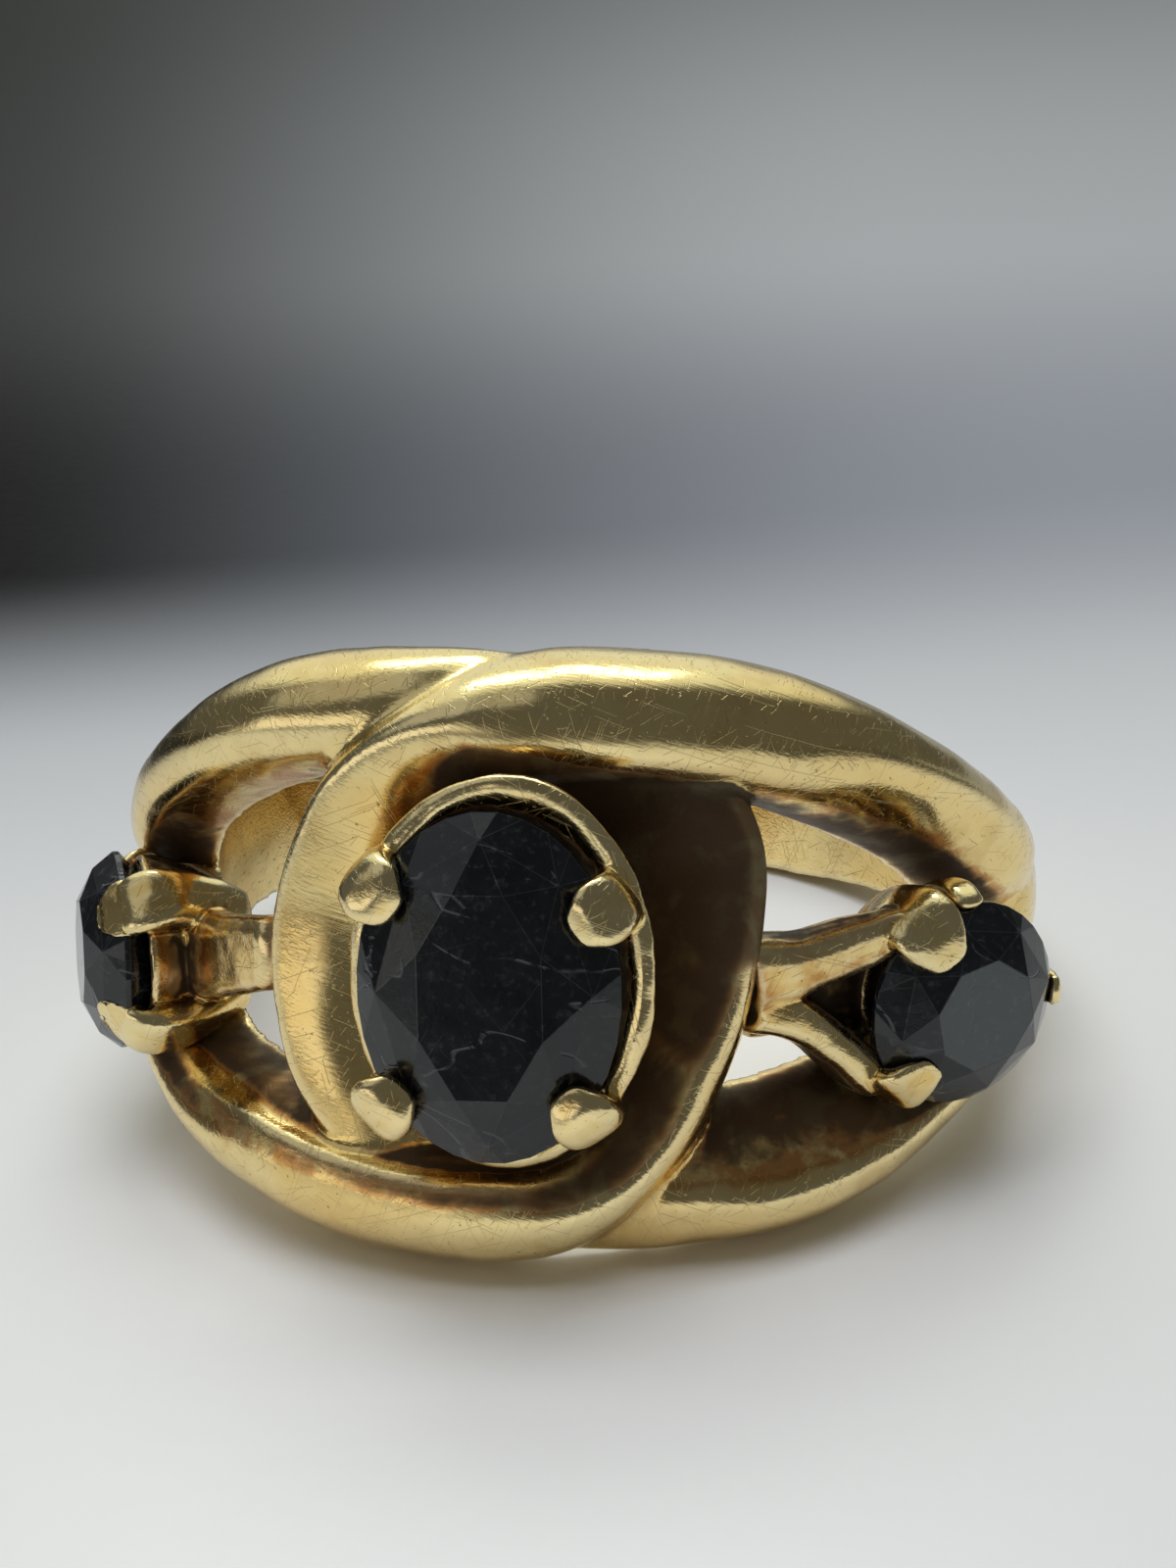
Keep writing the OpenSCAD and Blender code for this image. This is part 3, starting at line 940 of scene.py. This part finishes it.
# Scratches: turn in degrees, lanes to a millimetre, length in millimetres, share of them
# that is there, and their width as part of a lane
GOLD_STROKES = [
    ((0, 25, 0), 22.0, 0.24, 0.06, 0.16),
    ((10, 70, 0), 19.0, 0.18, 0.05, 0.18),
    ((-15, 115, 10), 24.0, 0.28, 0.06, 0.15),
    ((5, 160, -10), 18.0, 0.14, 0.05, 0.20),
    ((60, 45, 20), 21.0, 0.20, 0.05, 0.18),
]
STONE_STROKES = [
    ((0, 35, 0), 14.0, 0.3, 0.013, 0.12),
    ((0, 80, 10), 15.0, 0.22, 0.013, 0.12),
    ((0, 140, -10), 13.0, 0.26, 0.013, 0.12),
]

# Colours of the metal, of its wear and of the painted shade and highlight on it
RED_GOLD = (0.83, 0.60, 0.23)
PALE_GOLD = (0.87, 0.69, 0.32)
RUBBED_AND_HIGHLIT_GOLD = (0.92, 0.80, 0.48)
STAINED_GOLD = (0.66, 0.43, 0.15)
DULL_GOLD = (0.62, 0.46, 0.18)
SCRATCHED_GOLD = (0.32, 0.22, 0.10)
PITTED_GOLD = (0.10, 0.06, 0.03)
TARNISH = (0.50, 0.21, 0.05)
PATINA_AND_SHADE = (0.030, 0.018, 0.010)

# Colours of the stones and of their wear
STONE_DEEP = (0.0015, 0.002, 0.003)
STONE_LIGHT = (0.004, 0.006, 0.009)
STONE_HAZE = (0.030, 0.036, 0.040)
STONE_DULL_HAZE = (0.130, 0.148, 0.154)
STONE_CHIPS = (0.16, 0.18, 0.19)
STONE_SCRATCH = (0.04, 0.05, 0.06)
STONE_CRACK = (0.09, 0.10, 0.11)
STONE_DUST = (0.35, 0.36, 0.37)


def worn_gold(name, lumps=0.0, grime_and_shade=0.75):
    """Worn yellow gold: bright where rubbed and where a highlight is painted on proud edges,
    brown to black inside with patina, painted shade and painted dark reflection, scratched all
    over.
    Lumps make it more uneven, and grime with painted shade blackens its enclosed places."""
    f = Finish(bpy.data.materials.new(name))
    place = f.millimetres()
    recess, ridge, soot = f.stored("recess"), f.stored("ridge"), f.stored("soot")
    drift = f.clouds(place, 0.35, 2.0)
    grain = f.clouds(place, 2.2, 4.0, 0.6)
    specks = f.clouds(place, 9.0, 3.0, 0.6)
    hairs = f.clouds(f.stretched(place, (0, 20, 0), (0.8, 16.0, 16.0)), 1.0, 2.0)
    blotches = f.clouds(place, 1.1, 3.0, 0.6, 0.6)

    # Patina, painted shade and painted dark reflection are black and sit deepest; tarnish is
    # orange and lies round them in blotches, on the same mask
    hollow = recess * grime_and_shade + soot * 0.8 + (grain - 0.5) * 0.26
    # Proud edges are lighter, partly rubbed wear and partly a painted highlight, and patina and
    # painted shade give way on them
    rubbed = ridge.between(0.1, 1.2)
    patina_and_shade = hollow.between(0.58, 0.80) * (1 - rubbed * (0.85 - soot.between(1.1, 1.4) * 0.75))
    tarnish = hollow.between(0.34, 0.60) * blotches.between(0.36, 0.54)
    marks = all_strokes(f, place, GOLD_STROKES)
    pits = specks.between(0.655, 0.735)
    stain = f.clouds(place, 0.6, 4.0, 0.65).between(0.50, 0.68)

    color = f.mix(drift.between(0.35, 0.65), RED_GOLD, PALE_GOLD)
    color = f.mix(stain * 0.5, color, STAINED_GOLD)
    color = f.mix(grain.between(0.45, 0.75) * 0.30, color, DULL_GOLD)
    color = f.mix(tarnish * 0.85, color, TARNISH)
    # Black of patina together with painted shade and painted dark reflection
    color = f.mix(patina_and_shade * 0.94, color, PATINA_AND_SHADE)
    color = f.mix(marks * (1 - patina_and_shade) * 0.34, color, SCRATCHED_GOLD)
    color = f.mix(pits * 0.6, color, PITTED_GOLD)
    # Paler gold on proud edges: rubbed wear and a painted highlight
    color = f.mix(rubbed * (1 - patina_and_shade) * 0.5, color, RUBBED_AND_HIGHLIT_GOLD)

    height = grain * (0.32 + lumps) + marks * -0.26 + pits * -0.5
    height = height + drift * 0.8 + specks * 0.06 + hairs * 0.35
    roughness = 0.08 + grain * 0.07 + hairs * 0.08 + marks * 0.10
    roughness = roughness + patina_and_shade * 0.34 + tarnish * 0.08
    return f.surface({
        "Base Color": color,
        "Metallic": 1 - patina_and_shade * 0.5,
        "Roughness": roughness,
        "Normal": f.bump(height, 0.45, 0.00003),
    })


def dark_stone(name, rubbed=0.0, haze=STONE_HAZE):
    """Nearly black blue stone: polished facets with hair scratches, specks and cloudy patches."""
    f = Finish(bpy.data.materials.new(name))
    place = f.millimetres()
    cloud = f.clouds(place, 0.8, 4.0, 0.6, 0.8)
    chips = f.clouds(place, 5.0, 4.0, 0.7)
    scratches = all_strokes(f, place, STONE_STROKES)
    vein = f.clouds(f.stretched(place, (0, 20, 0), (0.2, 0.7, 0.6)), 1.0, 2.0, 0.5, 0.3)
    cracks = (1 - abs(vein - 0.5).between(0.0, 0.010)) * cloud.between(0.46, 0.54)
    patches = cloud.between(0.54, 0.68) * chips.between(0.40, 0.62)
    abraded = (patches * 0.7 + rubbed).between(0.0, 1.0)
    dust = chips.between(0.76, 0.79)

    color = f.mix(cloud.between(0.35, 0.65), STONE_DEEP, STONE_LIGHT)
    color = f.mix(abraded * 0.6, color, haze)
    color = f.mix(chips.between(0.52, 0.72) * (0.10 + rubbed * 0.35), color, STONE_CHIPS)
    color = f.mix(scratches * 0.04, color, STONE_SCRATCH)
    color = f.mix(cracks * 0.5, color, STONE_CRACK)
    color = f.mix(dust * 0.7, color, STONE_DUST)
    height = chips * (0.45 + rubbed) - scratches * 0.08 - cracks
    return f.surface({
        "Base Color": color,
        "Roughness": 0.07 + cloud * 0.10 + abraded * 0.32 + scratches * 0.06,
        "IOR": 1.77,
        "Specular IOR Level": 0.28,
        "Normal": f.bump(height, 0.35, 0.00002),
    })


# Tones of the paper, of the painted shade at its sides and behind and of the painted shadow in
# front, of the band beyond its edge and of the room behind
PAPER_HIGH = (0.93, 0.935, 0.94)
PAPER_LOW = (0.84, 0.845, 0.855)
PAPER_ASIDE_SHADE = (0.55, 0.555, 0.56)
PAPER_BEHIND_SHADE = (0.32, 0.335, 0.37)
PAPER_NEAR_SHADOW = (0.12, 0.12, 0.12)
PAPER_FAR_RIGHT = (0.10, 0.10, 0.104)
BAND_LEFT = (0.004, 0.004, 0.004)
BAND_RIGHT = (0.28, 0.295, 0.34)
ROOM_LEFT = (0.040, 0.040, 0.041)
ROOM_RIGHT = (0.42, 0.435, 0.46)
# Point that the zones behind the ring fan out from: to its right, and in front of it
FAN_SIDE = 7
FAN_AHEAD = 56


def paper_floor(name):
    """White paper with a soft tooth, greyed by painted shade at its sides and behind the ring and
    darkened by a painted shadow far in front. Distances on it are millimetres, "depth" away from
    the front of the ring and "side" to the right."""
    f = Finish(bpy.data.materials.new(name))
    place = f.millimetres()
    side, depth = f.part(place, 0), f.part(place, 1)
    tooth = f.clouds(place, 1.6, 4.0, 0.6)
    fibres = f.clouds(f.stretched(place, (0, 0, 20), (2.0, 0.3, 1)), 1.0, 3.0)
    # The zones behind the ring fan out, dark at the left and light at the right
    bearing = (side - FAN_SIDE) / (depth + FAN_AHEAD) + 0.13
    # The paper's far edge runs slightly aslant, and beyond it lie a band and the room
    edge = depth - side * 0.2
    # Painted shade greys the paper toward the back and toward both sides
    shade_behind = edge.between(-10, 36)
    aside_shade = abs(side).between(2, 16) * (1 - shade_behind)
    far_right = (side + depth * 0.3).between(22, 60) * (1 - depth.between(20, 40))
    # Painted shadow on the paper from 40 mm in front of the ring on
    near = (0 - depth).between(40, 80)

    paper = f.mix(tooth * 0.25, PAPER_HIGH, PAPER_LOW)
    paper = f.mix(aside_shade * 0.42, paper, PAPER_ASIDE_SHADE)
    paper = f.mix(shade_behind * 0.85, paper, PAPER_BEHIND_SHADE)
    band = f.mix(bearing.between(-0.27, 0.24), BAND_LEFT, BAND_RIGHT)
    room = f.mix(bearing.between(-0.27, 0.14), ROOM_LEFT, ROOM_RIGHT)
    behind = f.mix(depth.between(45, 95), band, room)
    color = f.mix(edge.between(21, 42), paper, behind)
    color = f.mix(near * 0.7, color, PAPER_NEAR_SHADOW)
    color = f.mix(far_right, color, PAPER_FAR_RIGHT)
    return f.surface({
        "Base Color": color,
        "Roughness": 0.75 + tooth * 0.15,
        "Specular IOR Level": 0.12,
        "Normal": f.bump(tooth * 0.6 + fibres * 0.4, 0.25, 0.00005),
    })


# Pieces

# How each metal piece is built: its skins, the grain and softening, and its unevenness
METALS = {
    "linked_ribbons_and_shank": (linked_ribbons, RIBBON_VOXEL, RIBBON_SOFTENING, RIBBON_WAVES),
    "center_basket_and_claws": (center_setting, SETTING_VOXEL, CENTER_SOFTENING, SETTING_WAVES),
    "right_cup_and_claws": (right_setting, SETTING_VOXEL, SIDE_SOFTENING, SETTING_WAVES),
    "left_cup_and_claws": (left_setting, SETTING_VOXEL, SIDE_SOFTENING, SETTING_WAVES),
}


def stone_solids():
    """The three cut stones in their seats, each turned about its own axis."""
    oval = cut_points(OVAL_W, OVAL_L, OVAL_CUT)
    brilliant = cut_points(ROUND_D, ROUND_D, ROUND_CUT)
    cuts = {
        "center_stone": (oval, CENTER_SEAT),
        "right_stone": (brilliant, RIGHT_SEAT),
        "left_stone": (brilliant, LEFT_SEAT),
    }
    return {
        node: stone_solid(points, place @ turned(STONE_TURNS[node], "Z"))
        for node, (points, place) in cuts.items()
    }


def built_pieces():
    """The metal pieces by name, and the stones by the node that each stands for."""
    solids = stone_solids()
    walls = [planes_of(solid) for solid in solids.values()]
    metals = {}
    for name, (build, voxel, softening, waves) in METALS.items():
        metal = fused(build(), name, voxel, softening)
        hand_finish(metal.data, waves)
        keep_clear(metal.data, walls)
        metal.data.shade_smooth()
        metals[name] = metal
    dull_way = {"right_stone": RIGHT_SEAT.to_3x3() @ Vector((0, 0, 1))}
    stones = {
        node: stone_piece(node + "_cut", solid, dull_way.get(node))
        for node, solid in solids.items()
    }
    mark_wear_and_shade([m.data for m in metals.values()], [s.data for s in stones.values()])
    return metals, stones


def dress():
    metals, stones = built_pieces()
    ribbon_gold = worn_gold("worn_gold_ribbon")
    setting_gold = worn_gold("worn_gold_setting", lumps=0.5, grime_and_shade=0.95)
    stone_finishes = (
        dark_stone("dark_stone_facet"),
        dark_stone("dark_stone_rubbed_edge", rubbed=0.5),
        dark_stone("dark_stone_dull_facet", rubbed=0.9, haze=STONE_DULL_HAZE),
    )
    for name, metal in metals.items():
        linked = name == "linked_ribbons_and_shank"
        metal.data.materials.append(ribbon_gold if linked else setting_gold)
        metal.data.transform(to_row)
        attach(metal, "root")
        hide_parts("ring_body")
    for node, stone in stones.items():
        for finish in stone_finishes:
            stone.data.materials.append(finish)
        stone.data.transform(to_row)
        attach(stone, "root")
        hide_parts(node)


# Camera, floor and lights

# Turn and tilt in degrees, and the ring's place in front of the camera in millimetres
CAMERA_TURN = 7.5
CAMERA_TILT = 8.0
CAMERA_AWAY = 56.8
CAMERA_ASIDE = 0.02
CAMERA_LIFT = -2.28
# Focal length for the frame's long side on this sensor
CAMERA_SENSOR = 36
CAMERA_LENS = 54.0


def set_camera():
    turn, tilt = math.radians(CAMERA_TURN), math.radians(CAMERA_TILT)
    forward = Vector((
        -math.sin(turn) * math.cos(tilt),
        math.cos(turn) * math.cos(tilt),
        -math.sin(tilt),
    ))
    right = Vector((math.cos(turn), math.sin(turn), 0))
    up = right.cross(forward)
    place = -(right * CAMERA_ASIDE + up * CAMERA_LIFT + forward * CAMERA_AWAY)
    axes = Matrix((right, up, -forward)).transposed().to_4x4()
    stand = rest @ Matrix.Translation(place) @ axes
    stand.translation = stand.translation * METRE
    data = bpy.data.cameras.new("camera")
    data.sensor_width = CAMERA_SENSOR
    data.lens = CAMERA_LENS
    data.clip_start, data.clip_end = 0.002, 5
    camera = bpy.data.objects.new("camera", data)
    camera.matrix_world = stand
    bpy.context.scene.collection.objects.link(camera)
    bpy.context.scene.camera = camera


# Half side of the floor, in metres
FLOOR_HALF = 0.6


def lay_floor():
    mesh = bpy.data.meshes.new("paper_floor")
    ways = ((-1, -1), (1, -1), (1, 1), (-1, 1))
    mesh.from_pydata([(x * FLOOR_HALF, y * FLOOR_HALF, 0) for x, y in ways], [], [(0, 1, 2, 3)])
    floor = bpy.data.objects.new("paper_floor", mesh)
    mesh.materials.append(paper_floor("white_paper"))
    bpy.context.scene.collection.objects.link(floor)


def soft_light(name, place, target, size, power, color, mirrored):
    """Lamp with a broad face. The metal and the stones show it only if it is mirrored."""
    data = bpy.data.lights.new(name, "AREA")
    data.shape = "RECTANGLE"
    data.size, data.size_y = (s * METRE for s in size)
    data.energy = power
    data.color = color
    light = bpy.data.objects.new(name, data)
    light.location = Vector(place) * METRE
    light.visible_glossy = mirrored
    way = (Vector(target) - Vector(place)).normalized()
    light.rotation_euler = way.to_track_quat("-Z", "Y").to_euler()
    bpy.context.scene.collection.objects.link(light)


# Zones of the room: the way to each, the cosines where it starts and is full, and its colour
ROOM_SHADE = (0.098, 0.098, 0.094)
HIGH_LEFT = ((-0.55, -0.15, 0.82), 0.87, 0.97, (0.44, 0.45, 0.45))
HIGH_BEHIND = ((-0.13, 0.73, 0.67), 0.70, 0.86, (0.86, 0.91, 0.84))
LOW_LEFT_WAY = (-0.74, -0.67, 0.0)
LOW_LEFT_COLOR = (0.98, 0.95, 0.89)


def light_room():
    """Room light: bright high behind the ring, softer at the left, dim at the right."""
    world = bpy.data.worlds.new("room")
    bpy.context.scene.world = world
    f = Finish(world)
    way = f.node("TexCoord", output="Generated")
    # The light at the left comes from a strip just above level
    level = abs(f.part(way, 2) - 0.08)
    low_left = f.dot(way, LOW_LEFT_WAY).between(0.82, 0.94) * (1 - level.between(0.15, 0.32))
    shade = f.mix(low_left, ROOM_SHADE, LOW_LEFT_COLOR)
    for zone_way, start, full, color in (HIGH_LEFT, HIGH_BEHIND):
        shade = f.mix(f.dot(way, zone_way).between(start, full), shade, color)
    glow = f.node("Background", None, {"Color": shade, "Strength": 1.0})
    f.node("OutputWorld", None, {"Surface": glow})
    soft_light(
        "high_behind", place=(-20, 110, 170), target=(0, -5, 5), size=(130, 60),
        power=0.075, color=(0.98, 1.0, 0.97), mirrored=True,
    )
    soft_light(
        "overhead", place=(0, -25, 225), target=(0, -25, 0), size=(180, 180),
        power=0.27, color=(0.98, 0.985, 1.0), mirrored=False,
    )


bpy.context.scene.view_settings.view_transform = "Standard"
set_camera()
lay_floor()
light_room()
dress()
